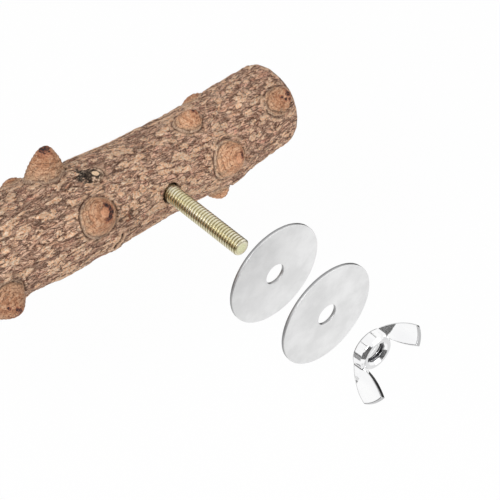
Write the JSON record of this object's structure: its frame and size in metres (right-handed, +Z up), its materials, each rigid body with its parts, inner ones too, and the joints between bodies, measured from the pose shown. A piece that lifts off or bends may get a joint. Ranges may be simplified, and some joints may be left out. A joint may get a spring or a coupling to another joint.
{
  "type": "bird perch",
  "caption": "Prickly wood branch perch with a threaded stud, large washers and a wing nut that clamp it to cage wires.",
  "frame": {"origin": "on the stud's axis, in the plane where the inner washer meets the bark", "axes": "+X along the branch towards its thinner end, -Y along the stud away from the branch, +Z up"},
  "size_m": [0.1499, 0.1248, 0.0414],
  "materials": {
    "wood": "sawn end grain, pale tan",
    "bark": "rough grey-brown bark with tan corky spots",
    "knob": "corky, orange tan, finely ringed, dark tip",
    "stub": "dark weathered bark round a pale pruning cut",
    "yellow_zinc": "pale yellow zinc plate, threaded",
    "zinc": "satin grey zinc plate, punched edges",
    "bright_nickel": "bright polished plate"
  },
  "bodies": {
    "branch": {"wood_core": "wood", "bark": "bark", "knob_top_left": "knob", "knob_front_left": "knob", "knob_front": "knob", "knob_top": "knob", "knob_front_right": "knob", "knob_right_end": "knob", "knob_under_right": "knob", "knob_back_left": "knob", "knob_back_right": "knob", "knob_back": "knob", "knob_rear_right": "knob", "knob_rear": "knob", "knob_far_left": "knob", "knob_left_end": "knob", "knob_back_far_left": "knob", "knob_rear_left": "knob", "twig_stub": "stub", "hanger_bolt": "yellow_zinc"},
    "inner_washer": {"inner_washer": "zinc"},
    "outer_washer": {"outer_washer": "zinc"},
    "wing_nut": {"wing_nut": "bright_nickel"}
  },
  "joints": [
    {"name": "inner_washer_slide", "type": "slide", "parent": "branch", "child": "inner_washer", "axis": [0, 1, 0], "range_m": [0, 0.0413]},
    {"name": "outer_washer_slide", "type": "slide", "parent": "inner_washer", "child": "outer_washer", "axis": [0, 1, 0], "range_m": [0, 0.0194]},
    {"name": "wing_nut_slide", "type": "slide", "parent": "outer_washer", "child": "wing_nut", "axis": [0, 1, 0], "range_m": [0, 0.0153]}
  ]
}
